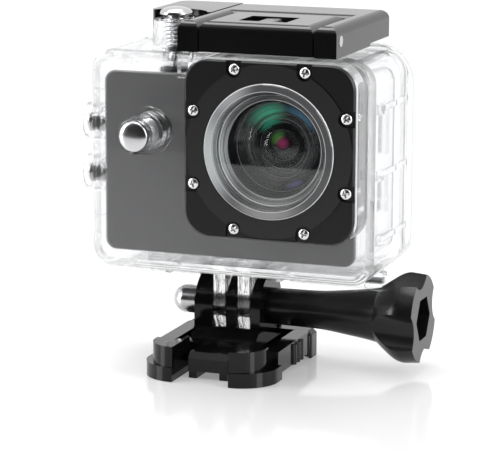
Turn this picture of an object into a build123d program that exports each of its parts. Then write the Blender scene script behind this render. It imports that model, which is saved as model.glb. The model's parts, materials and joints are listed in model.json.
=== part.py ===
from build123d import *
import os

os.makedirs("parts", exist_ok=True)

# Action camera in a clear diving case, on a three-prong quick-release buckle.
# +X is to the right of somebody who looks at the lens, +Y runs away from them, +Z is up.
# The origin is on the table under the middle prong, and the tilt axis runs along X.

# ---- driving dimensions, in millimetres ----
wall = 2.1

# tilt joint
tilt_y, tilt_z = 7.0, 12.4
prong_r = 7.5
screw_r = 2.42
screw_bore_r = 2.5
middle_prong_half = 1.35
clear_prong_in, clear_prong_out = 1.55, 4.35
outer_prong_in = 4.55
right_prong_out = 6.9
left_prong_out = -9.1

# camera body
camera_left, camera_right = -27.25, 32.15
camera_bottom, camera_top = 26.5, 67.5
camera_front, camera_rear = -9.0, 15.5
camera_corner = 2.5
camera_wall = 1.5
panel_back = camera_front + 1.4
cover_front = camera_rear - 2.0

# lens, shared by the camera and the round port of the case
lens_x, lens_z = 15.65, 53.0
lens_axis = Plane(origin=(lens_x, 0, lens_z), x_dir=(1, 0, 0), z_dir=(0, -1, 0))
barrel_r = 11.6
front_glass_r = 10.3

# clear case
case_left, case_right = -30.2, 36.7
case_bottom, case_top = 22.6, 72.4
case_front = -11.5
case_corner = 5.0
flange_left, flange_right = -31.3, 38.0
flange_bottom, flange_top = 21.9, 73.2
flange_corner = 8.5
flange_front, flange_rear = 11.6, 14.2
door_front, door_rear = 14.6, 18.6
door_recess_back = 16.4
hinge_y, hinge_z = 14.3, 18.8
knuckle_r = 2.3
hinge_pin_r = 0.8
case_knuckles = ((-25.5, -21.5), (-12.6, -9.6), (9.6, 12.6), (28.0, 32.0))
door_knuckles = ((-21.2, -12.9), (12.9, 27.7))

# lens port of the case
boss_half = 19.9
boss_front = -18.5
bezel_half = 19.48
bezel_front = -19.8
port_r = 12.4
tunnel_half = 16.4
tunnel_front = -15.4
window_r = 14.6
screw_near, screw_far = 8.09, 17.54

# latch
lever_left, lever_right = -0.65, 25.35
latch_front = -19.1
latch_top = 80.6
latch_bottom = 74.0
pivot_y, pivot_z = 0.6, 77.0
pivot_pin_r = 1.0
hook_pin_y, hook_pin_z = -16.15, 77.4
hook_pin_r = 1.2
frame_left, frame_right = -5.65, 30.75
frame_rear = 18.9
latch_gap = 0.3
latch_edge_r = 2.0
lug_spans = ((3.5, 7.0), (16.0, 19.7))
lug_top = pivot_z + 2.75
lever_rear = 2.9
deck_front = lever_rear + 0.7

# push buttons of the case: travel, and the planes whose +Z points out of the case
button_travel = 1.0
side_button_y = -4.0
upper_button_z, lower_button_z = 55.0, 43.3
top_button_x, top_button_y = -11.95, -4.0
front_button_x, front_button_z = -15.35, 54.75
top_axis = Plane(origin=(top_button_x, top_button_y, case_top), x_dir=(1, 0, 0), z_dir=(0, 0, 1))
front_axis = Plane(
    origin=(front_button_x, case_front, front_button_z), x_dir=(1, 0, 0), z_dir=(0, -1, 0)
)
upper_axis = Plane(
    origin=(case_left, side_button_y, upper_button_z), x_dir=(0, 1, 0), z_dir=(-1, 0, 0)
)
lower_axis = Plane(
    origin=(case_left, side_button_y, lower_button_z), x_dir=(0, 1, 0), z_dir=(-1, 0, 0)
)

# buckle; its arms and rear block are symmetric about buckle_x
buckle_x = 0.45
buckle_rear = 14.7
buckle_half = 15.5
rear_block_front = 9.0
rear_block_top = 6.4
arm_in, arm_out = 11.2, 14.9
arm_bottom = 1.2
arm_x = (arm_in + arm_out) / 2
arm_root_r = (arm_out - arm_in) / 2
tab_in, tab_out = 6.7, 13.3
tab_front, tab_back = -21.6, -10.5
tab_top = 8.0
flange_height = 3.3


# ---- shapes that repeat ----
def block(x_low, x_high, y_low, y_high, z_low, z_high, mode=Mode.ADD):
    with Locations(((x_low + x_high) / 2, (y_low + y_high) / 2, (z_low + z_high) / 2)):
        Box(x_high - x_low, y_high - y_low, z_high - z_low, mode=mode)


def rod_x(y, z, radius, x_low, x_high, mode=Mode.ADD):
    with Locations(Location(((x_low + x_high) / 2, y, z), (0, 90, 0))):
        Cylinder(radius, x_high - x_low, mode=mode)


def rod_z(x, y, radius, z_low, z_high, mode=Mode.ADD):
    with Locations((x, y, (z_low + z_high) / 2)):
        Cylinder(radius, z_high - z_low, mode=mode)


# a disc on the axis of the current plane, between two heights along that axis
def disc(radius, low, high, mode=Mode.ADD):
    with Locations((0, 0, low)):
        Cylinder(radius, high - low, align=(Align.CENTER, Align.CENTER, Align.MIN), mode=mode)


# a rounded rectangle standing across Y
def panel(left, right, bottom, top, corner, y_front, y_back, mode=Mode.ADD):
    with BuildSketch(Plane.XZ.offset(-y_back)) as outline:
        with Locations(((left + right) / 2, (bottom + top) / 2)):
            RectangleRounded(right - left, top - bottom, corner)
    extrude(outline.sketch, amount=y_back - y_front, mode=mode)


# a rounded rectangular ring standing across Y
def ring_panel(left, right, bottom, top, corner, width, y_front, y_back, mode=Mode.ADD):
    with BuildSketch(Plane.XZ.offset(-y_back)) as outline:
        with Locations(((left + right) / 2, (bottom + top) / 2)):
            RectangleRounded(right - left, top - bottom, corner)
            RectangleRounded(
                right - left - 2 * width, top - bottom - 2 * width, corner - width, mode=Mode.SUBTRACT
            )
    extrude(outline.sketch, amount=y_back - y_front, mode=mode)


# a cone on the axis of the current plane
def cone(radius_low, radius_high, low, high, mode=Mode.ADD):
    with Locations((0, 0, low)):
        Cone(
            radius_low, radius_high, high - low,
            align=(Align.CENTER, Align.CENTER, Align.MIN), mode=mode,
        )


# a ball on the axis of the current plane
def ball(radius, height, mode=Mode.ADD):
    with Locations((0, 0, height)):
        Sphere(radius, mode=mode)


def write(piece, node):
    piece.part.label = node
    export_step(piece.part, "parts/" + node + ".step")


# ======== mount: buckle, arms, nut and thumb screw ========
prong_front, prong_rear = tilt_y - prong_r, tilt_y + prong_r
foot_top = 8.0
slot_r = prong_r + 0.4

with BuildPart() as buckle_body:
    with BuildSketch(Plane.XY) as rear_outline:
        with Locations((buckle_x, (rear_block_front + buckle_rear) / 2)):
            RectangleRounded(2 * buckle_half, buckle_rear - rear_block_front, 1.4)
    extrude(amount=rear_block_top)
    chamfer(buckle_body.faces().sort_by(Axis.Z)[-1].edges().sort_by(Axis.Y)[-1:], 1.0)
    # centre block between the arms, wide under the prongs and narrow in front
    block(left_prong_out, -left_prong_out, -7.0, 10.0, arm_bottom, 5.8)
    block(buckle_x - 4.75, buckle_x + 4.75, -16.5, -6.0, 1.6, 5.8)
    chamfer(
        buckle_body.edges()
        .filter_by(Axis.X)
        .filter_by(lambda edge: edge.center().Y < -16.4 and edge.center().Z > 5.7),
        1.3,
    )
    for leg_x in (buckle_x - 3.65, buckle_x + 3.65):
        block(leg_x - 0.95, leg_x + 0.95, -16.5, 10.0, 0, 2.0)
    block(-4.0, 4.0, -2.0, 2.0, 0, 2.0)
    # prong pedestal, tangent to the round prong ends
    with BuildSketch(Plane.YZ.offset(left_prong_out)) as pedestal:
        with BuildLine():
            Polyline(
                (prong_front - 3.5, 5.0), (prong_rear, 5.0), (prong_rear, tilt_z),
                (prong_front, tilt_z), (prong_front, foot_top), close=True,
            )
        make_face()
        with Locations((tilt_y, tilt_z)):
            Circle(prong_r)
    extrude(amount=right_prong_out - left_prong_out)
    # slots that take the two clear prongs
    for low, high in ((-outer_prong_in, -middle_prong_half), (middle_prong_half, outer_prong_in)):
        block(low, high, -5, 20, foot_top + 0.1, tilt_z + 9, mode=Mode.SUBTRACT)
        rod_x(tilt_y, tilt_z, slot_r, low, high, mode=Mode.SUBTRACT)
    rod_x(tilt_y, tilt_z, screw_bore_r, left_prong_out - 1, right_prong_out + 1, Mode.SUBTRACT)
    # hexagonal pocket for the nut
    with BuildSketch(Plane.YZ.offset(left_prong_out)) as nut_pocket:
        with Locations((tilt_y, tilt_z)):
            RegularPolygon(4.1, 6, major_radius=False)
    extrude(amount=3.0, mode=Mode.SUBTRACT)
    # round sockets in which the two arms flex
    for middle in (buckle_x - arm_x, buckle_x + arm_x):
        rod_z(middle, rear_block_front, arm_root_r + 0.08, -1, 9, mode=Mode.SUBTRACT)
        block(
            middle - arm_root_r - 0.35, middle + arm_root_r + 0.35,
            rear_block_front - 1, rear_block_front + 0.25, -1, 9, mode=Mode.SUBTRACT,
        )
    with Locations((0, 12.2, rear_block_top)):
        Box(15, 1.6, 1.6, mode=Mode.SUBTRACT)
write(buckle_body, "buckle_body")


# one pinch arm with its tab; side is -1 on the left and +1 on the right
def pinch_arm(side):
    with BuildPart() as arm:
        with BuildSketch(Plane.XY.offset(arm_bottom)) as bar:
            with Locations((buckle_x + side * arm_x, (tab_back - 1 + rear_block_front) / 2)):
                Rectangle(arm_out - arm_in, rear_block_front - tab_back + 1)
            with Locations((buckle_x + side * arm_x, rear_block_front)):
                Circle(arm_root_r)
        extrude(amount=rear_block_top - arm_bottom)
        # grip ridges on the outside of the arm
        for ridge_y in (-1.0, 1.4, 3.8):
            rod_z(buckle_x + side * (arm_out - 0.2), ridge_y, 0.9, arm_bottom, rear_block_top - 0.6)
        # tab: an upper body and a wider flange at the table
        for outer, front, low, high in (
            (tab_out, tab_front + 0.3, flange_height, tab_top),
            (buckle_half, tab_front, 0, flange_height),
        ):
            corner = outer - tab_in - 0.4
            with BuildSketch(Plane.XY.offset(low)) as tab:
                with BuildLine():
                    near, far = buckle_x + side * tab_in, buckle_x + side * outer
                    Polyline((near, tab_back), (near, front), (far - side * corner, front))
                    RadiusArc(
                        (far - side * corner, front), (far, front + corner), -corner * side
                    )
                    Polyline((far, front + corner), (far, tab_back), (near, tab_back))
                make_face()
            extrude(amount=high - low)
        # the tab's top slopes down to the arm
        block(
            min(side * 7, side * 17), max(side * 7, side * 17),
            tab_back - 3.2, tab_back + 1, 6.9, 9, mode=Mode.SUBTRACT,
        )
    return arm


for side, hand in ((-1, "left"), (1, "right")):
    write(pinch_arm(side), "buckle_arm_" + hand)

dome_r, dome_x = 3.3, -13.6
nut_bore_end = -14.6
screw_end, screw_head_left, screw_head_right = 28.0, 18.0, 27.0
with BuildPart() as cap_nut:
    with BuildSketch(Plane.YZ.offset(left_prong_out + 2.9)) as hexagon:
        with Locations((tilt_y, tilt_z)):
            RegularPolygon(4.0, 6, major_radius=False)
    extrude(amount=-3.3)
    rod_x(tilt_y, tilt_z, 3.9, left_prong_out - 1.5, left_prong_out)
    rod_x(tilt_y, tilt_z, dome_r, dome_x, left_prong_out)
    with Locations((dome_x, tilt_y, tilt_z)):
        Sphere(dome_r)
    rod_x(tilt_y, tilt_z, screw_bore_r, nut_bore_end, 0, mode=Mode.SUBTRACT)
write(cap_nut, "cap_nut")

with BuildPart() as thumb_screw_rod:
    rod_x(tilt_y, tilt_z, screw_r, nut_bore_end + 0.4, screw_end)
    chamfer(thumb_screw_rod.faces().sort_by(Axis.X)[0].edges(), 0.5)
    rod_x(tilt_y, tilt_z, 3.4, screw_head_left, screw_head_right)
write(thumb_screw_rod, "thumb_screw_rod")

# bell-shaped grip with four lobes and a long tapered neck
knob_near, knob_neck, knob_end = right_prong_out + 0.1, 33.3, 43.4
knob_wide = knob_end - 3.4
with BuildPart() as thumb_knob:
    with BuildSketch(Plane.XZ.offset(-tilt_y)) as bell:
        with BuildLine():
            Polyline(
                (knob_near, tilt_z), (knob_near, tilt_z + 4.2), (knob_near + 10, tilt_z + 4.35)
            )
            Spline(
                (knob_near + 10, tilt_z + 4.35), (knob_neck - 8.0, tilt_z + 5.1),
                (knob_neck, tilt_z + 6.3),
                tangents=((1, 0.01), (1, 0.22)),
            )
            Spline(
                (knob_neck, tilt_z + 6.3), (knob_neck + 3.0, tilt_z + 8.7), (knob_wide, tilt_z + 10.3),
                tangents=((1, 0.9), (1, 0.05)),
            )
            Polyline(
                (knob_wide, tilt_z + 10.3), (knob_end, tilt_z + 10.0), (knob_end, tilt_z),
                (knob_near, tilt_z),
            )
        make_face()
    revolve(axis=Axis((0, tilt_y, tilt_z), (1, 0, 0)))
    # scallops between the four lobes
    for angle in (10, 100, 190, 280):
        scallop = Plane(
            origin=(knob_neck - 1.5, tilt_y, tilt_z), x_dir=(0, 1, 0), z_dir=(1, 0, 0)
        ).rotated((angle, 0, 0))
        with Locations(scallop):
            with Locations(Location((12.2, 0, 8), (0, 7, 0))):
                Cylinder(5.2, 24, mode=Mode.SUBTRACT)
    with BuildSketch(Plane.YZ.offset(knob_end)) as socket:
        with Locations((tilt_y, tilt_z)):
            RegularPolygon(4.65, 6, major_radius=False)
    extrude(amount=-6.0, mode=Mode.SUBTRACT)
    rod_x(tilt_y, tilt_z, screw_r, knob_near - 1, screw_end, mode=Mode.SUBTRACT)
    rod_x(tilt_y, tilt_z, 3.4, screw_head_left, screw_head_right, mode=Mode.SUBTRACT)
write(thumb_knob, "thumb_knob")


# ======== clear case ========
top_floor, top_rim = 0.75, 6.6
front_floor, front_rim = 1.5, 8.5
side_rim = 3.0
stem_r, side_stem_r = 1.25, 1.0
stem_clearance = 0.1
o_ring_depth = 1.2


# clear boss round a button; heights are measured out from the wall's face
def button_boss(axis, foot_r, rim_r, chamber_r, floor, rim, bore_r, pocket_r):
    with Locations(axis):
        disc(foot_r, -0.5, floor)
        disc(rim_r, -0.5, rim)
        disc(chamber_r, floor, rim + 1, mode=Mode.SUBTRACT)
        disc(bore_r, -wall - 1, rim, mode=Mode.SUBTRACT)
        disc(pocket_r, floor - o_ring_depth, floor + 1, mode=Mode.SUBTRACT)


with BuildPart() as case_front_shell:
    panel(case_left, case_right, case_bottom, case_top, case_corner, case_front, flange_front + 1)
    fillet(case_front_shell.faces().sort_by(Axis.Y)[0].edges(), 2.2)
    panel(
        lens_x - boss_half, lens_x + boss_half, lens_z - boss_half, lens_z + boss_half,
        5.8, boss_front, case_front + 3,
    )
    panel(
        flange_left, flange_right, flange_bottom, flange_top, flange_corner, flange_front, flange_rear
    )
    # stiffening ribs along the side walls and under the floor
    for rib_z in (61.9, 49.15, 32.8):
        block(case_left - 0.9, case_left + 1, -7.5, flange_front + 1, rib_z - 0.6, rib_z + 0.6)
    for rib_z in (61.9, 47.3, 32.8):
        block(case_right - 1, case_right + 1.0, -7.5, flange_front + 1, rib_z - 0.6, rib_z + 0.6)
        block(case_right - 1, case_right + 1.3, -9.0, -6.0, rib_z - 1.1, rib_z + 1.1)
    for rib_x in (-12.5, 14.0):
        block(rib_x - 0.6, rib_x + 0.6, -8.0, flange_front + 0.2, case_bottom - 0.9, case_bottom + 1)
    # small stop beside the port
    block(-7.6, -5.2, -14.4, case_front + 1, 67.3, 73.0)
    # round bosses and their chambers for the push buttons
    button_boss(top_axis, 5.5, 5.3, 3.8, top_floor, top_rim, stem_r + stem_clearance, 2.5)
    with Locations(front_axis):
        for ring_r, ring_low in ((5.0, 1.5), (4.6, 3.6)):
            disc(ring_r, ring_low - 0.1, ring_low + 0.9)
    button_boss(front_axis, 5.4, 4.15, 3.45, front_floor, front_rim, stem_r + stem_clearance, 2.5)
    with Locations(front_axis):
        disc(3.2, -wall - 1, -0.5, mode=Mode.SUBTRACT)
    for axis in (upper_axis, lower_axis):
        button_boss(axis, 4.6, 4.3, 3.4, 0.0, side_rim, side_stem_r + stem_clearance, 2.1)
    # lugs that carry the lever of the latch
    for low, high in lug_spans:
        block(low, high, pivot_y - 2.4, pivot_y + 1.2, case_top - 1, pivot_z)
        rod_x(pivot_y, pivot_z, 2.4, low, high)
        rod_x(pivot_y, pivot_z, pivot_pin_r, low - 1, high + 1, mode=Mode.SUBTRACT)
    # the hollow for the camera and the square tunnel behind the port
    panel(
        case_left + wall, case_right - wall, case_bottom + wall, case_top - wall,
        case_corner - wall, case_front + wall, flange_rear + 1, mode=Mode.SUBTRACT,
    )
    panel(
        lens_x - tunnel_half, lens_x + tunnel_half, lens_z - tunnel_half, lens_z + tunnel_half,
        5.0, tunnel_front, case_front + wall + 1, mode=Mode.SUBTRACT,
    )
    with Locations(lens_axis):
        disc(port_r, -tunnel_front - 1, -boss_front + 1, mode=Mode.SUBTRACT)
        disc(window_r + 0.2, -boss_front - 1.5, -boss_front + 1, mode=Mode.SUBTRACT)
        for near, far in ((screw_near, screw_far), (screw_far, screw_near)):
            for x_sign in (-1, 1):
                for z_sign in (-1, 1):
                    with Locations((x_sign * near, z_sign * far, -boss_front - 4.2)):
                        Cylinder(
                            0.8, 6, align=(Align.CENTER, Align.CENTER, Align.MIN), mode=Mode.SUBTRACT
                        )
    # channel for the door's seal
    ring_panel(
        case_left - 0.15, case_right + 0.25, case_bottom + 0.1, case_top - 0.05,
        case_corner + 0.6, 1.5, flange_rear - 1.3, flange_rear + 1, mode=Mode.SUBTRACT,
    )
    # two prongs of the tilt joint
    for low, high in ((clear_prong_in, clear_prong_out), (-clear_prong_out, -clear_prong_in)):
        rod_x(tilt_y, tilt_z, prong_r, low, high)
        block(low, high, prong_front, prong_rear - 1.7, tilt_z, case_bottom + 1)
    rod_x(tilt_y, tilt_z, screw_bore_r, -6, 6, mode=Mode.SUBTRACT)
write(case_front_shell, "case_front_shell")

# hinge ears under the flange, which carry the door
with BuildPart() as case_hinge_ears:
    for low, high in case_knuckles:
        block(low, high, hinge_y - knuckle_r, flange_rear, hinge_z, flange_bottom + 0.8)
        rod_x(hinge_y, hinge_z, knuckle_r, low, high)
    panel(
        flange_left, flange_right, flange_bottom, flange_top, flange_corner,
        flange_front, flange_rear, mode=Mode.SUBTRACT,
    )
    rod_x(hinge_y, hinge_z, hinge_pin_r, -27, 34, mode=Mode.SUBTRACT)
write(case_hinge_ears, "case_hinge_ears")

with BuildPart() as back_door:
    panel(
        flange_left, flange_right, flange_bottom, flange_top, flange_corner, door_front, door_rear
    )
    chamfer(back_door.faces().sort_by(Axis.Y)[-1].edges(), 1.1)
    panel(
        case_left + wall, case_right - wall, case_bottom + wall, case_top - wall,
        case_corner - wall, door_front - 1, door_recess_back, mode=Mode.SUBTRACT,
    )
    ring_panel(
        case_left + 0.1, case_right, case_bottom + 0.35, case_top - 0.3,
        case_corner + 0.35, 1.0, door_front - 1, door_front + 0.8, mode=Mode.SUBTRACT,
    )
    # lip that the latch hooks over
    block(2, 26, door_rear - 1.8, door_rear, flange_top - 2, flange_top + 0.7)
    for low, high in door_knuckles:
        block(low, high, door_front, hinge_y + knuckle_r, hinge_z, flange_bottom + 1)
        rod_x(hinge_y, hinge_z, knuckle_r, low, high)
    rod_x(hinge_y, hinge_z, hinge_pin_r + 0.06, -27, 34, mode=Mode.SUBTRACT)
write(back_door, "back_door")

with BuildPart() as door_seal:
    ring_panel(
        case_left + 0.15, case_right - 0.05, case_bottom + 0.4, case_top - 0.35,
        case_corner + 0.3, 0.9, flange_rear - 0.9, door_front + 0.75,
    )
write(door_seal, "door_seal")

with BuildPart() as door_hinge_pin:
    rod_x(hinge_y, hinge_z, hinge_pin_r, -25.5, 32.0)
write(door_hinge_pin, "door_hinge_pin")

# square plate that clamps the round window, with a raised disc and eight screw notches
with BuildPart() as port_bezel:
    panel(
        lens_x - bezel_half, lens_x + bezel_half, lens_z - bezel_half, lens_z + bezel_half,
        5.5, bezel_front + 0.25, boss_front,
    )
    chamfer(port_bezel.faces().sort_by(Axis.Y)[0].edges(), 0.3)
    with Locations(lens_axis):
        disc(bezel_half - 0.35, -bezel_front - 0.5, -bezel_front)
        disc(15.05, -boss_front - 1, -bezel_front + 1, mode=Mode.SUBTRACT)
        disc(15.9, -boss_front - 1, -boss_front + 0.5, mode=Mode.SUBTRACT)
        for turn in (0, 90, 180, 270):
            with Locations(Location((0, 0, 0), (0, 0, turn))):
                for along in (-screw_near, screw_near):
                    with Locations((screw_far, along, -bezel_front - 0.8)):
                        Cylinder(
                            1.75, 2, align=(Align.CENTER, Align.CENTER, Align.MIN), mode=Mode.SUBTRACT
                        )
                        with Locations((1.7, 0, 0)):
                            Box(
                                3.4, 3.5, 2, align=(Align.CENTER, Align.CENTER, Align.MIN),
                                mode=Mode.SUBTRACT,
                            )
                        Cylinder(0.8, 6, mode=Mode.SUBTRACT)
write(port_bezel, "port_bezel")

with BuildPart() as bezel_screws:
    with Locations(lens_axis):
        for turn in (0, 90, 180, 270):
            with Locations(Location((0, 0, 0), (0, 0, turn))):
                for along in (-screw_near, screw_near):
                    with Locations((screw_far, along, -bezel_front - 0.8)):
                        Cylinder(1.3, 0.75, align=(Align.CENTER, Align.CENTER, Align.MIN))
                        Cylinder(0.75, 4.5, align=(Align.CENTER, Align.CENTER, Align.MAX))
                    for cross in (20, 110):
                        with Locations(Location((screw_far, along, -bezel_front), (0, 0, cross))):
                            Box(1.7, 0.34, 0.8, mode=Mode.SUBTRACT)
write(bezel_screws, "bezel_screws")

with BuildPart(lens_axis) as port_ring:
    disc(14.97, 19.02, 20.1)
    chamfer(port_ring.faces().sort_by(Axis.Y)[0].edges(), 0.4)
    disc(15.8, 18.55, 18.95)
    disc(14.97, 18.55, 19.1)
    disc(13.1, 18, 21, mode=Mode.SUBTRACT)
    disc(window_r + 0.15, 18, 19.02, mode=Mode.SUBTRACT)
write(port_ring, "port_ring")

with BuildPart(lens_axis) as port_window:
    disc(window_r, 17.42, 19.0)
    chamfer(port_window.faces().sort_by(Axis.Y)[0].edges(), 0.3)
write(port_window, "port_window")

with BuildPart(lens_axis) as port_gasket:
    disc(window_r, 17.0, 17.42)
    disc(window_r - 1.9, 16, 18, mode=Mode.SUBTRACT)
write(port_gasket, "port_gasket")


# ======== latch ========
with BuildPart() as latch_lever:
    block(lever_left, lever_right, latch_front, lever_rear, latch_bottom, latch_top)
    fillet(latch_lever.faces().sort_by(Axis.Z)[-1].edges(), latch_edge_r)
    # the rear of the lever is cut away round the lugs, and turns on the pivot pin between them
    block(lever_left, lever_right, pivot_y - 3.0, lever_rear, latch_bottom - 1, pivot_z, Mode.SUBTRACT)
    for low, high in lug_spans:
        block(low - 0.2, high + 0.2, pivot_y - 3.0, lever_rear, pivot_z - 1, lug_top, Mode.SUBTRACT)
    for low, high in ((lever_left + 1.0, 3.3), (7.2, 15.8), (19.9, lever_right - 1.0)):
        rod_x(pivot_y, pivot_z, 2.6, low, high)
        block(low, high, pivot_y - 4, pivot_y, pivot_z - 2.0, pivot_z + 2.6)
    # window for the slider, and the slot that guides it
    block(6.5, 17.6, -13.9, -4.6, latch_bottom - 1, latch_top + 1, mode=Mode.SUBTRACT)
    block(4.8, 19.2, -13.9, -3.9, 76.9, 78.3, mode=Mode.SUBTRACT)
    # cored pockets underneath
    block(0.9, 3.6, -13.6, -3.9, latch_bottom - 1, 78.6, mode=Mode.SUBTRACT)
    block(20.4, 23.8, -13.6, -3.9, latch_bottom - 1, 78.6, mode=Mode.SUBTRACT)
    rod_x(pivot_y, pivot_z, pivot_pin_r + 0.06, -5, 30, mode=Mode.SUBTRACT)
    rod_x(hook_pin_y, hook_pin_z, hook_pin_r + 0.06, -5, 30, mode=Mode.SUBTRACT)
write(latch_lever, "latch_lever")

with BuildPart() as latch_slider:
    block(5.0, 19.0, -10.7, -4.7, 77.0, 78.15)
    block(7.1, 17.0, -7.4, -4.9, 77.5, 79.4)
    block(9.9, 13.4, -11.0, -4.9, 77.5, 80.3)
    fillet(latch_slider.faces().sort_by(Axis.Z)[-1].edges(), 0.5)
write(latch_slider, "latch_slider")

with BuildPart() as latch_hook_frame:
    block(frame_left, frame_right, latch_front, frame_rear, 74.5, latch_top)
    block(frame_left, frame_right, latch_front, 4.8, latch_bottom - 0.14, 75.5)
    # opening in which the lever lies
    block(
        lever_left - latch_gap, lever_right + latch_gap, latch_front - 1, deck_front,
        70, latch_top + 1, mode=Mode.SUBTRACT,
    )
    fillet(latch_hook_frame.faces().sort_by(Axis.Z)[-1].edges(), latch_edge_r)
    # wing that reaches behind the top button
    block(-19.4, frame_left + 1, -1.6, frame_rear, 78.2, latch_top)
    fillet(
        latch_hook_frame.edges()
        .filter_by(Axis.Z)
        .filter_by(lambda edge: edge.center().X < -19),
        2.5,
    )
    rod_z(top_button_x, top_button_y, 6.9, 70, 90, mode=Mode.SUBTRACT)
    # hollow under the deck, and the hook behind the door's lip
    block(
        frame_left + 2, frame_right - 2, deck_front + 2, frame_rear - 1.6, 70, 78.4,
        mode=Mode.SUBTRACT,
    )
    block(2, 26, frame_rear - 2.0, frame_rear, 74.2, 75.5)
    rod_x(hook_pin_y, hook_pin_z, hook_pin_r, frame_left - 1, frame_right + 1, mode=Mode.SUBTRACT)
write(latch_hook_frame, "latch_hook_frame")

with BuildPart() as latch_pivot_pin:
    rod_x(pivot_y, pivot_z, pivot_pin_r, lever_left + 1.1, lever_right - 1.1)
write(latch_pivot_pin, "latch_pivot_pin")

with BuildPart() as latch_hook_pin:
    rod_x(hook_pin_y, hook_pin_z, hook_pin_r, frame_left, frame_right + 0.08)
write(latch_hook_pin, "latch_hook_pin")


# ======== push buttons of the case ========
# a turned plunger: domed head, stem and foot; heights run out from the wall's face
def plunger(axis, stem, foot_end, under_head, head_top, head_r, neck_r):
    with BuildPart(axis) as piece:
        disc(stem, foot_end, under_head + 0.2)
        disc(neck_r, under_head - 0.7, under_head + 0.2)
        disc(head_r, under_head, head_top)
        fillet(
            piece.edges()
            .filter_by(GeomType.CIRCLE)
            .sort_by(lambda edge: -(edge.center() - axis.origin).dot(axis.z_dir))[:1],
            (head_top - under_head) * 0.8,
        )
    return piece


def spring_sleeve(axis, inner, outer, low, high):
    with BuildPart(axis) as piece:
        disc(outer, low, high)
        disc(inner, low - 1, high + 1, mode=Mode.SUBTRACT)
    return piece


buttons = {
    "top": (top_axis, stem_r, -4.1, 7.7, 9.5, 3.65, 2.0, top_floor, 2.8, -2.7),
    "front": (front_axis, stem_r, -2.3, 8.4, 10.5, 3.35, 2.0, front_floor, 2.8, -1.1),
    "side_upper": (upper_axis, side_stem_r, -2.75, 1.9, 3.3, 2.6, 1.5, 0.0, 2.3, -2.55),
    "side_lower": (lower_axis, side_stem_r, -2.75, 1.9, 3.3, 2.6, 1.5, 0.0, 2.3, -2.55),
}
for name, (axis, stem, foot, under, top, head_r, neck_r, floor, coil_r, clip) in buttons.items():
    write(plunger(axis, stem, foot, under, top, head_r, neck_r), name + "_plunger")
    write(spring_sleeve(axis, coil_r - 0.55, coil_r, floor, under), name + "_spring")
    write(spring_sleeve(axis, stem, 2.7, clip, clip + 0.45), name + "_clip")

with BuildPart() as button_seals:
    for name, (axis, stem, foot, under, top, head_r, neck_r, floor, coil_r, clip) in buttons.items():
        with Locations(axis):
            disc(2.0, floor - o_ring_depth + 0.05, floor - 0.1)
            disc(stem + 0.06, floor - 2, floor + 1, mode=Mode.SUBTRACT)
write(button_seals, "button_seals")


# ======== camera ========
key_r = 3.3
battery_left, battery_right = -22.8, 6.6
battery_front, battery_back = -3.2, 6.6
window_low_z, window_high_z = 33.5, 60.5
lights_x = 25.0
light_z = (57.0, 52.5)
usb_z, hdmi_z = (37.0, 45.0), (50.0, 61.2)
port_y = (2.6, 5.8)
cover_screws = ((-24.0, 29.7), (28.9, 29.7), (-24.0, 64.3), (28.9, 64.3))

with BuildPart() as camera_front_panel:
    panel(
        camera_left, camera_right, camera_bottom, camera_top, camera_corner, camera_front, panel_back
    )
    fillet(camera_front_panel.faces().sort_by(Axis.Y)[0].edges(), 0.5)
    with Locations(lens_axis):
        disc(12.1, -panel_back - 1, -camera_front + 1, mode=Mode.SUBTRACT)
    with Locations(front_axis):
        disc(key_r + 1.05, -6, 0, mode=Mode.SUBTRACT)
write(camera_front_panel, "camera_front_panel")

with BuildPart() as camera_frame:
    ring_panel(
        camera_left, camera_right, camera_bottom, camera_top, camera_corner, camera_wall,
        panel_back, cover_front,
    )
    for screw_x, screw_z in cover_screws:
        with Locations(Plane(origin=(screw_x, cover_front, screw_z), z_dir=(0, -1, 0))):
            disc(2.0, 0, 3.6)
            disc(0.75, -1, 3.0, mode=Mode.SUBTRACT)
    # battery opening, key holes and the sockets in the right wall
    block(-24.7, 8.2, -5.2, 8.2, camera_bottom - 1, camera_bottom + 2, mode=Mode.SUBTRACT)
    rod_z(top_button_x, top_button_y, key_r + 0.25, camera_top - 3, camera_top + 1, Mode.SUBTRACT)
    for key_z in (upper_button_z, lower_button_z):
        rod_x(side_button_y, key_z, key_r + 0.15, camera_left - 1, camera_left + 3, Mode.SUBTRACT)
    for low, high in (usb_z, hdmi_z):
        block(30, 33, port_y[0] - 0.1, port_y[1] + 0.1, low - 0.1, high + 0.1, mode=Mode.SUBTRACT)
    block(30, 33, -3.6, -2.2, 29.3, 40.7, mode=Mode.SUBTRACT)
write(camera_frame, "camera_frame")

with BuildPart() as camera_rear_cover:
    panel(
        camera_left, camera_right, camera_bottom, camera_top, camera_corner, cover_front, camera_rear
    )
    fillet(camera_rear_cover.faces().sort_by(Axis.Y)[-1].edges(), 0.8)
    panel(-15.1, 20.1, window_low_z - 0.1, window_high_z + 0.1, 1.6, 14.75, 16, mode=Mode.SUBTRACT)
    panel(-13.0, 18.0, 35.5, 58.5, 0.5, 13, 16, mode=Mode.SUBTRACT)
    for z in light_z:
        with Locations(Plane(origin=(lights_x, cover_front, z), z_dir=(0, 1, 0))):
            disc(0.95, -1, 3, mode=Mode.SUBTRACT)
    for screw_x, screw_z in cover_screws:
        with Locations(Plane(origin=(screw_x, cover_front, screw_z), z_dir=(0, 1, 0))):
            disc(0.85, -1, 3, mode=Mode.SUBTRACT)
            disc(1.5, 0.9, 3, mode=Mode.SUBTRACT)
write(camera_rear_cover, "camera_rear_cover")

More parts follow.
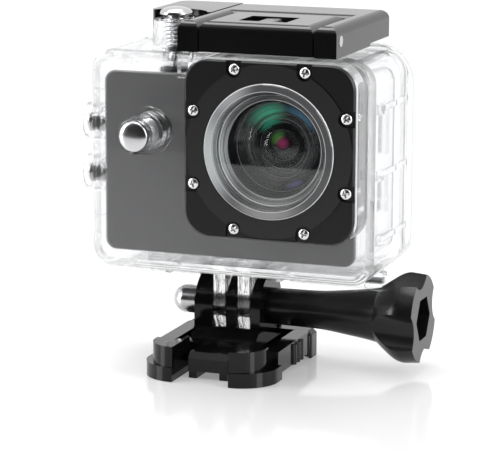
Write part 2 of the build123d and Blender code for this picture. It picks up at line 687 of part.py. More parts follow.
with BuildPart() as camera_screws:
    for screw_x, screw_z in cover_screws:
        with Locations(Plane(origin=(screw_x, cover_front, screw_z), z_dir=(0, 1, 0))):
            disc(0.72, -2.8, 1.0)
            disc(1.4, 0.92, 1.7)
            for cross in (0, 90):
                with Locations(Location((0, 0, 1.7), (0, 0, cross))):
                    Box(1.6, 0.35, 0.7, mode=Mode.SUBTRACT)
write(camera_screws, "camera_screws")

with BuildPart() as lcd_window:
    panel(-15, 20, window_low_z, window_high_z, 1.5, 14.8, 15.45)
write(lcd_window, "lcd_window")

with BuildPart() as lcd_panel:
    panel(-14, 19, 34.5, 59.5, 0.6, 11.6, 13.4)
write(lcd_panel, "lcd_panel")

with BuildPart() as status_lights:
    for z in light_z:
        with Locations(Plane(origin=(lights_x, cover_front, z), z_dir=(0, 1, 0))):
            disc(0.9, -0.6, 2.0)
write(status_lights, "status_lights")

with BuildPart() as battery:
    panel(battery_left, battery_right, 28.6, 62.0, 1.2, battery_front, battery_back)
    fillet(battery.edges().filter_by(GeomType.LINE).filter_by(Axis.Z), 0.8)
write(battery, "battery")

with BuildPart() as battery_door:
    block(-24.5, 8.0, -5.0, 8.0, camera_bottom, camera_bottom + 1.4)
    fillet(battery_door.edges().filter_by(Axis.Z), 1.0)
    block(-23.6, -21.0, -2.0, 5.0, camera_bottom - 1, camera_bottom + 0.5, mode=Mode.SUBTRACT)
write(battery_door, "battery_door")

# keys of the camera, each on the axis of the plunger that presses it
key_planes = {
    "shutter_key": (top_axis, key_r + 0.1, -4.2, -5.8),
    "power_key": (front_axis, key_r + 0.9, -2.4, -4.2),
    "upper_key": (upper_axis, key_r, -2.85, -4.25),
    "lower_key": (lower_axis, key_r, -2.85, -4.25),
}
for node, (axis, radius, face, back) in key_planes.items():
    with BuildPart(axis) as key:
        disc(radius, back, face)
        disc(1.0, back - 0.4, back)
    write(key, node)

with BuildPart() as key_switches:
    for axis, radius, face, back in key_planes.values():
        with Locations(axis):
            with Locations((0, 0, back - 0.4 - button_travel)):
                Box(3.4, 3.4, 1.2, align=(Align.CENTER, Align.CENTER, Align.MAX))
                Cylinder(0.9, 0.3, align=(Align.CENTER, Align.CENTER, Align.MAX))
write(key_switches, "key_switches")

with BuildPart() as main_board:
    block(-24.0, 29.0, 8.0, 9.2, 29.2, 65.0)
    block(-4.0, 8.0, 9.0, 10.6, 40.0, 52.0)
    block(-18.0, -9.0, 9.0, 10.2, 33.0, 40.0)
    block(12.0, 19.0, 9.0, 10.2, 55.0, 63.0)
    block(20.0, 25.0, 9.0, 10.0, 42.0, 49.0)
write(main_board, "main_board")

with BuildPart() as memory_card:
    block(16.8, 31.8, -3.4, -2.4, 29.5, 40.5)
write(memory_card, "memory_card")

with BuildPart() as side_ports:
    for low, high in (usb_z, hdmi_z):
        block(25.2, 31.9, port_y[0], port_y[1], low, high)
        block(27.0, 33, port_y[0] + 0.4, port_y[1] - 0.4, low + 0.4, high - 0.4, mode=Mode.SUBTRACT)
        block(26.5, 31.0, port_y[0] + 1.2, port_y[1] - 1.2, low + 1.2, high - 1.2)
write(side_ports, "side_ports")

with BuildPart() as speaker:
    with Locations(Plane(origin=(24.0, -4.4, 35.6), z_dir=(0, -1, 0))):
        disc(5.2, 0, 2.2)
        disc(3.6, 2.2, 2.8)
write(speaker, "speaker")

# lens: heights run towards the scene along the lens axis
with BuildPart(lens_axis) as lens_barrel:
    disc(12.0, 6.2, 9.3)
    cone(11.6, 10.95, 9.3, 14.8)
    disc(front_glass_r + 0.08, 11.7, 15, mode=Mode.SUBTRACT)
    disc(7.0, 5, 12, mode=Mode.SUBTRACT)
    cone(7.0, 9.9, 9.6, 11.7, mode=Mode.SUBTRACT)
write(lens_barrel, "lens_barrel")

with BuildPart(lens_axis) as lens_front_element:
    disc(front_glass_r, 11.9, 16)
    ball(22.0, -6.7, mode=Mode.INTERSECT)
    ball(9.0, 5.1, mode=Mode.SUBTRACT)
write(lens_front_element, "lens_front_element")

with BuildPart(lens_axis) as lens_inner_ring:
    disc(6.92, 6.6, 9.6)
    chamfer(lens_inner_ring.faces().sort_by(Axis.Y)[0].edges(), 0.5)
    disc(5.3, 5, 11, mode=Mode.SUBTRACT)
write(lens_inner_ring, "lens_inner_ring")

with BuildPart(lens_axis) as lens_second_element:
    disc(5.24, 6.8, 11)
    ball(10.0, -0.9, mode=Mode.INTERSECT)
write(lens_second_element, "lens_second_element")

with BuildPart(lens_axis) as lens_rear_element:
    disc(4.0, 2.4, 6)
    ball(7.0, -1.6, mode=Mode.INTERSECT)
write(lens_rear_element, "lens_rear_element")

with BuildPart() as lens_holder:
    block(lens_x - 8, lens_x + 8, -6.1, -0.5, lens_z - 8, lens_z + 8)
    with Locations(lens_axis):
        disc(4.05, -1, 8, mode=Mode.SUBTRACT)
        disc(5.4, 5.8, 8, mode=Mode.SUBTRACT)
write(lens_holder, "lens_holder")

with BuildPart() as image_sensor:
    block(lens_x - 3.6, lens_x + 3.6, -0.4, 0.6, lens_z - 3.0, lens_z + 3.0)
write(image_sensor, "image_sensor")

with BuildPart() as sensor_board:
    block(lens_x - 8, lens_x + 8, 0.6, 1.6, lens_z - 8, lens_z + 8)
write(sensor_board, "sensor_board")
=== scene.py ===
import json
import math

import bpy
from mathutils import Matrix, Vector


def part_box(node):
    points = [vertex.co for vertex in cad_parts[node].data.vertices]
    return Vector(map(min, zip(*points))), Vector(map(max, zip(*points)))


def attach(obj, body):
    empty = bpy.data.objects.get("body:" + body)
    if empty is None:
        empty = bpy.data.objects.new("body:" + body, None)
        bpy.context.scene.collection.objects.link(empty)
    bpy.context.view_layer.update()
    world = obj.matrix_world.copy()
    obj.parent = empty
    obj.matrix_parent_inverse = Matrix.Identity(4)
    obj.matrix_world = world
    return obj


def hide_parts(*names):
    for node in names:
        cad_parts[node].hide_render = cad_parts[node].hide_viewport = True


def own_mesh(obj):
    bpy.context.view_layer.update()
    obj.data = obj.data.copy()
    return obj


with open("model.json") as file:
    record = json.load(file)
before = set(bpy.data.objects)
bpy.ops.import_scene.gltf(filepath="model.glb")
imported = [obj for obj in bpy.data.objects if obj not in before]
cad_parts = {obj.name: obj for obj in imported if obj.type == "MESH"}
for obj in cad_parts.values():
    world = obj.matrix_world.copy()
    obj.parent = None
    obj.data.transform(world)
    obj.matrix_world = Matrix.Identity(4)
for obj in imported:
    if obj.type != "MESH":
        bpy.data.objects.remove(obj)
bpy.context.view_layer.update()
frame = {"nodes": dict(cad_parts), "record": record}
mm = 0.001
print("frame loaded:", len(frame["nodes"]), "nodes")


def clearSelection():
    if bpy.context.object is not None and bpy.context.object.mode != "OBJECT":
        bpy.ops.object.mode_set(mode="OBJECT")
    bpy.ops.object.select_all(action="DESELECT")


def pickOnly(piece):
    clearSelection()
    piece.select_set(True)
    bpy.context.view_layer.objects.active = piece


def applyModifiers(piece):
    pickOnly(piece)
    for modifier in list(piece.modifiers):
        bpy.ops.object.modifier_apply(modifier=modifier.name)


def dress(piece, material):
    piece.data.materials.clear()
    piece.data.materials.append(material)


def bodyOf(node):
    for body, members in frame["record"]["behaviour"]["bodies"].items():
        if node in members:
            return body


def standFor(piece, node):
    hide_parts(node)
    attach(piece, bodyOf(node))


def middle(node):
    low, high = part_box(node)
    return (low + high) / 2


def smoothShade(piece, angle=35):
    pickOnly(piece)
    bpy.ops.object.shade_smooth_by_angle(angle=math.radians(angle))


# puts a piece that was made upright on the origin at its base, facing along its direction
def standAt(piece, base, direction):
    piece.rotation_euler = Vector(direction).to_track_quat("Z", "Y").to_euler()
    piece.location = base
    pickOnly(piece)
    bpy.ops.object.transform_apply(location=True, rotation=True, scale=True)


# a lathe-turned piece: a disc drawn up through pairs of (height, radius)
def turned(name, steps, sides=72):
    clearSelection()
    bpy.ops.mesh.primitive_circle_add(
        vertices=sides, radius=steps[0][1], fill_type="NGON", location=(0, 0, steps[0][0])
    )
    piece = bpy.context.object
    piece.name = name
    bpy.ops.object.transform_apply(location=True, rotation=True, scale=True)
    bpy.ops.object.mode_set(mode="EDIT")
    bpy.ops.mesh.select_all(action="SELECT")
    for (lowHeight, lowRadius), (height, radius) in zip(steps, steps[1:]):
        bpy.ops.mesh.extrude_region_move(
            TRANSFORM_OT_translate={"value": (0, 0, height - lowHeight)}
        )
        share = radius / lowRadius
        bpy.ops.transform.resize(value=(share, share, 1), center_override=(0, 0, height))
    bpy.ops.mesh.select_all(action="SELECT")
    bpy.ops.mesh.normals_make_consistent(inside=False)
    bpy.ops.object.mode_set(mode="OBJECT")
    smoothShade(piece)
    return piece


# steps over a round crown, from its rim up to the middle
def crown(rim, height, rise, count=9):
    steps = []
    for index in range(count):
        turn = math.radians(90) * index / count
        steps.append((height + rise * math.sin(turn), rim * math.cos(turn)))
    steps.append((height + rise, rim * 0.03))
    return steps


# a wound spring standing on the origin, with closed wire ends
def woundSpring(name, radius, wire, length, turns):
    clearSelection()
    bpy.ops.mesh.primitive_circle_add(
        vertices=12, radius=wire / 2, fill_type="NOTHING",
        location=(radius - wire / 2, 0, wire / 2), rotation=(math.radians(90), 0, 0),
    )
    piece = bpy.context.object
    piece.name = name
    bpy.ops.object.transform_apply(location=True, rotation=True, scale=True)
    bpy.context.scene.cursor.location = (0, 0, 0)
    bpy.ops.object.origin_set(type="ORIGIN_CURSOR")
    screw = piece.modifiers.new("winding", "SCREW")
    screw.axis = "Z"
    screw.iterations = turns
    screw.screw_offset = (length - wire) / turns
    screw.steps = screw.render_steps = 36
    applyModifiers(piece)
    bpy.ops.object.mode_set(mode="EDIT")
    bpy.ops.mesh.select_all(action="SELECT")
    bpy.ops.mesh.remove_doubles(threshold=1e-7)
    bpy.ops.mesh.fill_holes(sides=0)
    bpy.ops.mesh.normals_make_consistent(inside=False)
    bpy.ops.object.mode_set(mode="OBJECT")
    smoothShade(piece, 60)
    return piece


def cutAway(piece, tool):
    cut = piece.modifiers.new("cut", "BOOLEAN")
    cut.operation = "DIFFERENCE"
    cut.object = tool
    cut.solver = "EXACT"
    applyModifiers(piece)
    bpy.data.objects.remove(tool)


def copyOf(piece, name):
    clearSelection()
    twin = bpy.data.objects.new(name, piece.data.copy())
    bpy.context.collection.objects.link(twin)
    return twin


def newMaterial(name):
    material = bpy.data.materials.new(name)
    material.use_nodes = True
    nodes = material.node_tree.nodes
    shader = nodes["Principled BSDF"]
    return material, nodes, material.node_tree.links, shader


def objectNoise(nodes, links, scale, detail=4.0, roughness=0.55, stretch=(1, 1, 1)):
    place = nodes.new("ShaderNodeTexCoord")
    mapping = nodes.new("ShaderNodeMapping")
    mapping.inputs["Scale"].default_value = stretch
    noise = nodes.new("ShaderNodeTexNoise")
    noise.inputs["Scale"].default_value = scale
    noise.inputs["Detail"].default_value = detail
    noise.inputs["Roughness"].default_value = roughness
    links.new(place.outputs["Object"], mapping.inputs["Vector"])
    links.new(mapping.outputs["Vector"], noise.inputs["Vector"])
    return noise


def spread(nodes, links, source, low, high, fromLow=0.3, fromHigh=0.7):
    ramp = nodes.new("ShaderNodeMapRange")
    ramp.inputs["From Min"].default_value = fromLow
    ramp.inputs["From Max"].default_value = fromHigh
    ramp.inputs["To Min"].default_value = low
    ramp.inputs["To Max"].default_value = high
    links.new(source, ramp.inputs["Value"])
    return ramp.outputs["Result"]


def addBump(nodes, links, shader, height, strength, distance):
    bump = nodes.new("ShaderNodeBump")
    bump.inputs["Strength"].default_value = strength
    bump.inputs["Distance"].default_value = distance
    links.new(height, bump.inputs["Height"])
    links.new(bump.outputs["Normal"], shader.inputs["Normal"])


# moulded plastic or rubber: fine grain, uneven gloss and a slight drift of the colour
def mouldedMaterial(name, colour, gloss, grain, grainDepth, drift=0.15, mirror=0.5):
    material, nodes, links, shader = newMaterial(name)
    broad = objectNoise(nodes, links, 90, 3)
    fine = objectNoise(nodes, links, grain, 2)
    mix = nodes.new("ShaderNodeMix")
    mix.data_type = "RGBA"
    mix.inputs["A"].default_value = (*[c * (1 - drift) for c in colour], 1)
    mix.inputs["B"].default_value = (*[c * (1 + drift) for c in colour], 1)
    links.new(spread(nodes, links, broad.outputs["Fac"], 0, 1), mix.inputs["Factor"])
    links.new(mix.outputs["Result"], shader.inputs["Base Color"])
    links.new(
        spread(nodes, links, broad.outputs["Fac"], gloss[0], gloss[1]), shader.inputs["Roughness"]
    )
    addBump(nodes, links, shader, fine.outputs["Fac"], 0.35, grainDepth)
    shader.inputs["Specular IOR Level"].default_value = mirror
    return material


# turned or rolled metal with fine lines across the axis
def metalMaterial(name, colour, gloss, lines=(1, 1, 1), lineDepth=0.000002):
    material, nodes, links, shader = newMaterial(name)
    shader.inputs["Base Color"].default_value = (*colour, 1)
    shader.inputs["Metallic"].default_value = 1.0
    smear = objectNoise(nodes, links, 500, 3, stretch=lines)
    links.new(
        spread(nodes, links, smear.outputs["Fac"], gloss[0], gloss[1]), shader.inputs["Roughness"]
    )
    addBump(nodes, links, shader, smear.outputs["Fac"], 0.2, lineDepth)
    return material


# uneven surface of the moulded clear plastic, on its prongs only
prongRipple = {
    "scale": 420, "detail": 3, "stretch": (1, 1, 0.6), "fade": 0.001, "strength": 0.8,
    "depth": 0.0006,
}


# clear plastic or glass that lets the lamps through to what it shuts in; mirror is how much it
# reflects, and straight is the share of rays that it doesn't bend
def clearMaterial(name, tint, ior, film=0.0, mirror=0.5, rippleBelow=None, straight=0.0):
    material, nodes, links, shader = newMaterial(name)
    shader.inputs["Base Color"].default_value = (*tint, 1)
    shader.inputs["Transmission Weight"].default_value = 1.0
    shader.inputs["IOR"].default_value = ior
    shader.inputs["Specular IOR Level"].default_value = mirror
    shader.inputs["Roughness"].default_value = 0.0
    if film:
        shader.inputs["Thin Film Thickness"].default_value = film
        shader.inputs["Thin Film IOR"].default_value = 1.9
    if rippleBelow is not None:
        ripple = objectNoise(
            nodes, links, prongRipple["scale"], prongRipple["detail"],
            stretch=prongRipple["stretch"],
        )
        place = nodes.new("ShaderNodeTexCoord")
        apart = nodes.new("ShaderNodeSeparateXYZ")
        links.new(place.outputs["Object"], apart.inputs["Vector"])
        fadeFrom = rippleBelow - prongRipple["fade"]
        depth = spread(nodes, links, apart.outputs["Z"], 1, 0, fadeFrom, rippleBelow)
        bumped = nodes.new("ShaderNodeMath")
        bumped.operation = "MULTIPLY"
        links.new(ripple.outputs["Fac"], bumped.inputs[0])
        links.new(depth, bumped.inputs[1])
        addBump(
            nodes, links, shader, bumped.outputs["Value"], prongRipple["strength"],
            prongRipple["depth"],
        )
    path = nodes.new("ShaderNodeLightPath")
    through = nodes.new("ShaderNodeBsdfTransparent")
    through.inputs["Color"].default_value = (*[1 - (1 - c) * 0.5 for c in tint], 1)
    either = nodes.new("ShaderNodeMath")
    either.operation = "MAXIMUM"
    links.new(path.outputs["Is Shadow Ray"], either.inputs[0])
    links.new(path.outputs["Is Diffuse Ray"], either.inputs[1])
    blend = nodes.new("ShaderNodeMixShader")
    least = nodes.new("ShaderNodeMath")
    least.operation = "MAXIMUM"
    least.inputs[1].default_value = straight
    links.new(either.outputs["Value"], least.inputs[0])
    links.new(least.outputs["Value"], blend.inputs["Fac"])
    links.new(shader.outputs["BSDF"], blend.inputs[1])
    links.new(through.outputs["BSDF"], blend.inputs[2])
    links.new(blend.outputs["Shader"], nodes["Material Output"].inputs["Surface"])
    return material


clearTint = (0.985, 0.99, 0.995)
prongTop = 0.0215
clearCase = clearMaterial(
    "clearCase", clearTint, 1.3, mirror=0.9, rippleBelow=prongTop, straight=0.2
)
clearDoor = clearMaterial("clearDoor", clearTint, 1.3, mirror=0.9, straight=0.2)
windowGlass = clearMaterial("windowGlass", (0.98, 0.99, 0.99), 1.5)
rearLensGlass = clearMaterial("rearLensGlass", (0.9, 0.7, 0.9), 1.6, film=560)
bucklePlastic = mouldedMaterial(
    "bucklePlastic", (0.003, 0.003, 0.003), (0.06, 0.12), 900, 0.000001, mirror=0.32
)
latchPlastic = mouldedMaterial(
    "latchPlastic", (0.004, 0.004, 0.004), (0.1, 0.15), 1400, 0.000001, mirror=0.45
)
gripPlastic = mouldedMaterial(
    "gripPlastic", (0.006, 0.006, 0.006), (0.2, 0.26), 1400, 0.000002, mirror=0.35
)
sliderPlastic = mouldedMaterial("sliderPlastic", (0.09, 0.09, 0.09), (0.25, 0.3), 1400, 0.000002)
bodyPlastic = mouldedMaterial("bodyPlastic", (0.014, 0.014, 0.015), (0.4, 0.55), 1600, 0.000006)
frameSilver = mouldedMaterial("frameSilver", (0.7, 0.7, 0.71), (0.3, 0.4), 1600, 0.000002, 0.04)
panelPaint = mouldedMaterial(
    "panelPaint", (0.105, 0.105, 0.105), (0.3, 0.34), 1800, 0.0000004, 0.03
)
sealRubber = mouldedMaterial("sealRubber", (0.008, 0.008, 0.008), (0.5, 0.7), 1200, 0.000006)
paleSilicone = mouldedMaterial("paleSilicone", (0.72, 0.72, 0.71), (0.4, 0.55), 1200, 0.000006)
polishedMetal = metalMaterial("polishedMetal", (0.6, 0.6, 0.61), (0.14, 0.2), lineDepth=0.0000004)
screwSteel = metalMaterial("screwSteel", (0.7, 0.7, 0.71), (0.12, 0.22), lineDepth=0.000001)
plainSteel = metalMaterial("plainSteel", (0.55, 0.55, 0.56), (0.16, 0.3), (0.05, 1, 1))
blackSteel = metalMaterial("blackSteel", (0.05, 0.05, 0.05), (0.3, 0.45))
circuitBoard = mouldedMaterial("circuitBoard", (0.01, 0.07, 0.03), (0.3, 0.4), 900, 0.00001)
batteryWrap = mouldedMaterial("batteryWrap", (0.05, 0.06, 0.09), (0.3, 0.4), 900, 0.000004)
darkScreen = mouldedMaterial("darkScreen", (0.006, 0.006, 0.009), (0.05, 0.1), 500, 0.000001)
lightPipe = mouldedMaterial("lightPipe", (0.5, 0.12, 0.06), (0.15, 0.2), 500, 0.000001)


# a face of one tone with soft arcs of colour that are painted reflections, each placed from its
# centre in metres, and fine rings round the same centre, each given as radius, width and brightness
# with the lengths in millimetres; bright rings are painted highlight lines
def toneAndPaintedLightFace(name, centre, arcs=(), rings=(), ground=(0.004, 0.005, 0.007), gloss=0.05):
    material, nodes, links, shader = newMaterial(name)
    place = nodes.new("ShaderNodeTexCoord")
    base = nodes.new("ShaderNodeRGB")
    base.outputs["Color"].default_value = (*ground, 1)
    colour = base.outputs["Color"]
    for arc in arcs:
        mapping = nodes.new("ShaderNodeMapping")
        mapping.vector_type = "TEXTURE"
        mapping.inputs["Location"].default_value = (
            centre[0] + arc["at"][0], centre[1], centre[2] + arc["at"][1]
        )
        mapping.inputs["Rotation"].default_value = (0, math.radians(arc["turn"]), 0)
        mapping.inputs["Scale"].default_value = (arc["size"][0], 1, arc["size"][1])
        links.new(place.outputs["Object"], mapping.inputs["Vector"])
        length = nodes.new("ShaderNodeVectorMath")
        length.operation = "LENGTH"
        links.new(mapping.outputs["Vector"], length.inputs[0])
        glow = nodes.new("ShaderNodeMapRange")
        glow.interpolation_type = "SMOOTHERSTEP"
        glow.inputs["From Min"].default_value = 1.0
        glow.inputs["From Max"].default_value = 0.0
        links.new(length.outputs["Value"], glow.inputs["Value"])
        add = nodes.new("ShaderNodeMix")
        add.data_type = "RGBA"
        add.inputs["B"].default_value = (*arc["colour"], 1)
        links.new(glow.outputs["Result"], add.inputs["Factor"])
        links.new(colour, add.inputs["A"])
        colour = add.outputs["Result"]
    apart = nodes.new("ShaderNodeVectorMath")
    apart.operation = "SUBTRACT"
    apart.inputs[1].default_value = centre
    links.new(place.outputs["Object"], apart.inputs[0])
    flat = nodes.new("ShaderNodeVectorMath")
    flat.operation = "MULTIPLY"
    flat.inputs[1].default_value = (1, 0, 1)
    links.new(apart.outputs["Vector"], flat.inputs[0])
    reach = nodes.new("ShaderNodeVectorMath")
    reach.operation = "LENGTH"
    links.new(flat.outputs["Vector"], reach.inputs[0])
    for radius, width, light in rings:
        near = nodes.new("ShaderNodeMath")
        near.operation = "COMPARE"
        near.inputs[1].default_value = radius * mm
        near.inputs[2].default_value = width * mm / 2
        links.new(reach.outputs["Value"], near.inputs[0])
        line = nodes.new("ShaderNodeMix")
        line.data_type = "RGBA"
        line.inputs["B"].default_value = (light, light, light, 1)
        links.new(near.outputs["Value"], line.inputs["Factor"])
        links.new(colour, line.inputs["A"])
        colour = line.outputs["Result"]
    links.new(colour, shader.inputs["Base Color"])
    shader.inputs["Roughness"].default_value = gloss
    shader.inputs["Specular IOR Level"].default_value = 0.35
    return material


# painted reflections of the lens coating: green at upper left, blue at upper right, violet low on
# the right
lensPaintedReflectionArcs = (
    {"at": (-0.0030, 0.0064), "turn": -28, "size": (0.0060, 0.0036), "colour": (0.06, 0.62, 0.38)},
    {"at": (0.0040, 0.0060), "turn": 32, "size": (0.0056, 0.0034), "colour": (0.03, 0.19, 0.34)},
    {"at": (0.0032, -0.0078), "turn": -20, "size": (0.0034, 0.0012), "colour": (0.08, 0.07, 0.22)},
)
# painted reflections on the inner lens element: green at upper left, magenta near the middle
innerPaintedReflectionArcs = (
    {"at": (-0.0014, 0.0018), "turn": -40, "size": (0.0030, 0.0019), "colour": (0.14, 0.55, 0.08)},
    {"at": (-0.0001, 0.0007), "turn": 0, "size": (0.0025, 0.0021), "colour": (0.7, 0.08, 0.28)},
)
# painted reflections on the grey port face: lightest to the left, lighter below and at the upper
# left
portPaintedLightArcs = (
    {"at": (0.0, -0.014), "turn": 0, "size": (0.012, 0.009), "colour": (0.22, 0.22, 0.22)},
    {"at": (-0.0145, -0.002), "turn": 90, "size": (0.019, 0.0095), "colour": (0.42, 0.44, 0.45)},
    {"at": (-0.009, 0.0115), "turn": -40, "size": (0.009, 0.005), "colour": (0.3, 0.31, 0.32)},
)
lensCentre = middle("lens_front_element")
# lens cone: the painted coating reflections and two thin painted highlight rings
conePaintedReflections = toneAndPaintedLightFace("conePaintedReflections", lensCentre, lensPaintedReflectionArcs, ((9.6, 0.12, 0.16), (8.0, 0.1, 0.06)))
# second lens element shown opaque dark, with painted reflections and two painted highlight rings
innerPaintedReflections = toneAndPaintedLightFace("innerPaintedReflections", lensCentre, innerPaintedReflectionArcs, ((3.8, 0.1, 0.12), (2.6, 0.08, 0.05)))
# inner lens ring: the green painted reflection and two painted highlight rings
innerRingPaintedReflections = toneAndPaintedLightFace(
    "innerRingPaintedReflections", lensCentre, lensPaintedReflectionArcs[:1], ((6.6, 0.14, 0.25), (5.6, 0.12, 0.2))
)
# grey port face with painted reflections; its bright rings are painted highlight lines, and the
# ring at 11.4 mm is a thin dark line
portGreyPaintedLight = toneAndPaintedLightFace(
    "portGreyPaintedLight", lensCentre, portPaintedLightArcs,
    (
        (14.85, 0.14, 0.75), (13.2, 0.12, 0.5), (12.2, 0.1, 0.6), (11.4, 0.08, 0.03),
        (10.95, 0.16, 0.5),
    ),
    (0.07, 0.072, 0.075),
)
bezelFace = toneAndPaintedLightFace(
    "bezelFace", lensCentre, rings=((9.55, 19.1, 0.012),), ground=(0.003, 0.003, 0.003), gloss=0.33
)
frontLensGlass = clearMaterial("frontLensGlass", (0.97, 0.99, 0.98), 1.35)
print("materials ready")

cadDress = {
    "case_front_shell": clearCase, "case_hinge_ears": clearDoor, "back_door": clearDoor,
    "port_window": windowGlass,
    "lcd_window": windowGlass, "lens_front_element": frontLensGlass,
    "lens_second_element": innerPaintedReflections, "lens_rear_element": rearLensGlass,
    "buckle_body": bucklePlastic, "buckle_arm_left": bucklePlastic,
    "buckle_arm_right": bucklePlastic, "cap_nut": polishedMetal, "thumb_knob": gripPlastic,
    "thumb_screw_rod": plainSteel, "port_bezel": bezelFace, "bezel_screws": screwSteel,
    # ring and gasket both carry the port face's painted reflections and painted highlight lines
    "port_ring": portGreyPaintedLight, "port_gasket": portGreyPaintedLight, "door_seal": paleSilicone,
    "door_hinge_pin": plainSteel, "latch_pivot_pin": plainSteel, "latch_hook_pin": plainSteel,
    "latch_lever": latchPlastic, "latch_hook_frame": latchPlastic, "latch_slider": sliderPlastic,
    "button_seals": sealRubber, "camera_front_panel": panelPaint, "camera_frame": frameSilver,
    "camera_rear_cover": bodyPlastic, "battery_door": bodyPlastic, "camera_screws": blackSteel,
    "lcd_panel": darkScreen, "status_lights": lightPipe, "battery": batteryWrap,
    "key_switches": bodyPlastic, "main_board": circuitBoard, "sensor_board": circuitBoard,
    "memory_card": bodyPlastic, "side_ports": plainSteel, "speaker": bodyPlastic,
    "lens_barrel": conePaintedReflections, "lens_inner_ring": innerRingPaintedReflections, "lens_holder": bodyPlastic,
    "image_sensor": darkScreen, "power_key": polishedMetal, "shutter_key": bodyPlastic,
    "upper_key": bodyPlastic, "lower_key": bodyPlastic,
}
for node, part in frame["nodes"].items():
    if node.endswith("_plunger"):
        dress(part, polishedMetal)
    elif node.endswith("_clip"):
        dress(part, blackSteel)
    elif node.endswith("_spring"):
        dress(part, plainSteel)
    else:
        dress(part, cadDress[node])

# wound springs of the four push buttons
buttonSprings = {
    "top_spring": {"press": "top_press", "out": (0, 0, 1), "wire": 0.5, "turns": 7},
    "front_spring": {"press": "front_press", "out": (0, -1, 0), "wire": 0.5, "turns": 7},
    "side_upper_spring": {"press": "side_upper_press", "out": (-1, 0, 0), "wire": 0.32, "turns": 4},
    "side_lower_spring": {"press": "side_lower_press", "out": (-1, 0, 0), "wire": 0.32, "turns": 4},
}
for node, spring in buttonSprings.items():
    low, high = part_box(node)
    out = Vector(spring["out"])
    length = abs((high - low).dot(out))
    across = sorted((high - low)[axis] for axis in range(3) if abs(out[axis]) < 0.5)
    radius = across[0] / 2
    foot = (low + high) / 2 - out * length / 2
    coil = woundSpring(node + "_coil", radius, spring["wire"] * mm, length, spring["turns"])
    standAt(coil, foot, out)
    dress(coil, screwSteel)
    standFor(coil, node)
    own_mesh(coil)
print("springs wound")

# domed cross-head screws round the lens plate
plateScrew = {
    "head": 1.3, "edge": 0.3, "rise": 0.55, "shank": 0.72, "slot": (0.36, 1.75), "near": 8.09,
}
plateLow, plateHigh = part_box("bezel_screws")
screwFar = (plateHigh.x - plateLow.x) / 2 - plateScrew["head"] * mm
screwMiddle = middle("bezel_screws")
model = turned(
    "plateScrewModel",
    [(step[0] * mm, step[1] * mm) for step in (
        (-4.5, 0.5), (-4.1, plateScrew["shank"]), (-0.02, plateScrew["shank"]), (0, 1.24),
        (0.06, plateScrew["head"]),
    )]
    + crown(plateScrew["head"] * mm, plateScrew["edge"] * mm, plateScrew["rise"] * mm),
    48,
)
for turn in (0, 90):
    clearSelection()
    bpy.ops.mesh.primitive_cube_add(size=1)
    tool = bpy.context.object
    wide, long = (length * mm for length in plateScrew["slot"])
    tool.scale = (long, wide, 0.9 * mm)
    tool.rotation_euler = (0, 0, math.radians(turn))
    tool.location = (0, 0, (plateScrew["edge"] + plateScrew["rise"] + 0.02) * mm)
    bpy.ops.object.transform_apply(location=True, rotation=True, scale=True)
    bpy.ops.object.mode_set(mode="EDIT")
    bpy.ops.mesh.select_all(action="SELECT")
    bpy.ops.mesh.bevel(offset=0.09 * mm, segments=2)
    bpy.ops.object.mode_set(mode="OBJECT")
    cutAway(model, tool)
dress(model, screwSteel)
smoothShade(model, 40)
slotTurns = (12, 55, 78, 31, 64, 8, 40, 70)
count = 0
for quarter in range(4):
    around = math.radians(90 * quarter)
    for along in (-plateScrew["near"] * mm, plateScrew["near"] * mm):
        across = Vector((
            screwFar * math.cos(around) - along * math.sin(around), 0,
            screwFar * math.sin(around) + along * math.cos(around),
        ))
        screw = copyOf(model, "plate_screw_" + str(count + 1))
        screw.rotation_euler = (0, 0, math.radians(slotTurns[count]))
        pickOnly(screw)
        bpy.ops.object.transform_apply(location=True, rotation=True, scale=True)
        face = plateLow.y + (plateScrew["edge"] + plateScrew["rise"]) * mm
        standAt(screw, (screwMiddle.x + across.x, face, screwMiddle.z + across.z), (0, -1, 0))
        standFor(screw, "bezel_screws")
        count += 1
bpy.data.objects.remove(model)
print("plate screws in place")

# stepped funnel between the window and the lens, in the port ring's grey with its painted
# reflections and painted highlight lines;
# heights run out along the lens axis, each with its radius
portFunnel = {
    "outer": ((15.45, 12.3), (15.6, 12.36), (16.95, 12.36)),
    "hole": (
        (15.3, 10.7), (15.7, 10.8), (15.72, 11.15), (16.1, 11.4), (16.12, 11.7), (16.6, 12.0),
        (16.62, 12.15), (17.1, 12.25),
    ),
}
axisX, axisZ = middle("port_ring").x, middle("port_ring").z
funnel = turned(
    "port_funnel", [(height * mm, radius * mm) for height, radius in portFunnel["outer"]], 96
)
tool = turned(
    "port_funnel_hole", [(height * mm, radius * mm) for height, radius in portFunnel["hole"]], 96
)
cutAway(funnel, tool)
standAt(funnel, (axisX, 0, axisZ), (0, -1, 0))
smoothShade(funnel, 30)
dress(funnel, portGreyPaintedLight)
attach(funnel, bodyOf("port_ring"))
print("port funnel turned")

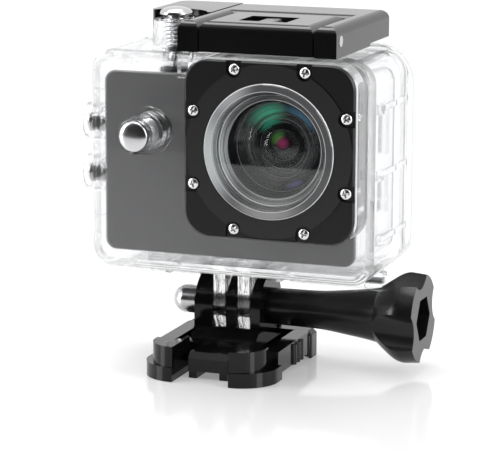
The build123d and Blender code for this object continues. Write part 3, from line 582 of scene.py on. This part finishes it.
# turned heads of the push buttons
buttonHeads = {
    "top_plunger": {
        "out": (0, 0, 1), "stem": 1.25, "neck": 1.9, "head": 3.65, "under": -1.8, "rise": 1.45,
    },
    "front_plunger": {
        "out": (0, -1, 0), "stem": 1.25, "neck": 1.9, "head": 3.35, "under": -2.1, "rise": 0.8,
    },
    "side_upper_plunger": {
        "out": (-1, 0, 0), "stem": 1.0, "neck": 1.4, "head": 2.6, "under": -1.4, "rise": 1.1,
    },
    "side_lower_plunger": {
        "out": (-1, 0, 0), "stem": 1.0, "neck": 1.4, "head": 2.6, "under": -1.4, "rise": 1.1,
    },
}
for node, head in buttonHeads.items():
    low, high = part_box(node)
    out = Vector(head["out"])
    length = abs((high - low).dot(out))
    tip = (low + high) / 2 + out * length / 2
    stem = head["stem"] * mm
    under, rim = head["under"] * mm, head["head"] * mm
    piece = turned(
        node + "_turned",
        [
            (-length, stem * 0.8), (-length + 0.15 * mm, stem), (under - 0.9 * mm, stem),
            (under - 0.7 * mm, head["neck"] * mm), (under, head["neck"] * mm),
            (under + 0.02 * mm, rim * 0.96), (under + 0.1 * mm, rim),
        ]
        + crown(rim, -head["rise"] * mm, head["rise"] * mm, 12),
        96,
    )
    standAt(piece, tip, out)
    dress(piece, polishedMetal)
    standFor(piece, node)
print("button heads turned")

view = {
    "azimuth": 20.18,
    "elevation": 11.5,
    "roll": 0.208,
    "distance": 0.5498,
    "target": (0.0076, -0.0090, 0.0338),
    "lens": 177.7,
}
around, up = math.radians(view["azimuth"]), math.radians(view["elevation"])
backwards = Vector(
    (math.sin(around) * math.cos(up), -math.cos(around) * math.cos(up), math.sin(up))
)
bpy.ops.object.camera_add(location=Vector(view["target"]) + backwards * view["distance"])
camera = bpy.context.object
camera.rotation_euler = backwards.to_track_quat("Z", "Y").to_euler()
camera.rotation_euler.rotate_axis("Z", math.radians(view["roll"]))
camera.data.lens = view["lens"]
camera.data.sensor_width = 36
camera.data.clip_end = 20
bpy.context.scene.camera = camera
print("camera placed")

stageSizes = {
    "floorHalf": 4.0, "frontEdge": -0.281, "floorColour": (0.42, 0.42, 0.42, 1),
    "floorGlow": 0.26, "floorRoughness": 0.1,
}
clearSelection()
bpy.ops.mesh.primitive_plane_add(
    size=2 * stageSizes["floorHalf"],
    location=(0, stageSizes["floorHalf"] + stageSizes["frontEdge"], -0.00005),
)
floor = bpy.context.object
floor.name = "floor"
floorMaterial, nodes, links, shader = newMaterial("floorWhite")
shader.inputs["Base Color"].default_value = stageSizes["floorColour"]
shader.inputs["Roughness"].default_value = stageSizes["floorRoughness"]
shader.inputs["Emission Color"].default_value = (1, 1, 1, 1)
shader.inputs["Emission Strength"].default_value = stageSizes["floorGlow"]
shader.inputs["Specular IOR Level"].default_value = 0.35
dress(floor, floorMaterial)

# the world is dark only in front, where the faces that look at the camera mirror it
darkFront = {"darkTo": -0.82, "lightFrom": -0.5, "dark": 0.03, "light": 1.0}
world = bpy.data.worlds.new("studio")
bpy.context.scene.world = world
world.use_nodes = True
nodes, links = world.node_tree.nodes, world.node_tree.links
place = nodes.new("ShaderNodeTexCoord")
split = nodes.new("ShaderNodeSeparateXYZ")
links.new(place.outputs["Generated"], split.inputs["Vector"])
fade = nodes.new("ShaderNodeMapRange")
fade.interpolation_type = "SMOOTHSTEP"
fade.inputs["From Min"].default_value = darkFront["darkTo"]
fade.inputs["From Max"].default_value = darkFront["lightFrom"]
fade.inputs["To Min"].default_value = darkFront["dark"]
fade.inputs["To Max"].default_value = darkFront["light"]
links.new(split.outputs["Y"], fade.inputs["Value"])
path = nodes.new("ShaderNodeLightPath")
brighter = nodes.new("ShaderNodeMath")
brighter.operation = "MAXIMUM"
links.new(fade.outputs["Result"], brighter.inputs[0])
links.new(path.outputs["Is Camera Ray"], brighter.inputs[1])
links.new(brighter.outputs["Value"], nodes["Background"].inputs["Strength"])
nodes["Background"].inputs["Color"].default_value = (1, 1, 1, 1)

lamps = {
    "topBox": {"at": (-0.1, 0.1, 0.9), "aim": (0, 0, 0.04), "size": (0.7, 0.6), "power": 9},
    "leftBox": {"at": (-0.75, -0.45, 0.35), "aim": (0, 0, 0.04), "size": (0.35, 0.7), "power": 5},
    "rightBox": {"at": (0.8, -0.25, 0.4), "aim": (0, 0, 0.04), "size": (0.3, 0.7), "power": 5},
}
for name, lamp in lamps.items():
    bpy.ops.object.light_add(type="AREA", location=lamp["at"])
    light = bpy.context.object
    light.name = name
    light.data.shape = "RECTANGLE"
    light.data.size, light.data.size_y = lamp["size"]
    light.data.energy = lamp["power"]
    aim = Vector(lamp["at"]) - Vector(lamp["aim"])
    light.rotation_euler = aim.to_track_quat("Z", "Y").to_euler()
bpy.context.scene.view_settings.view_transform = "Standard"
print("stage ready")
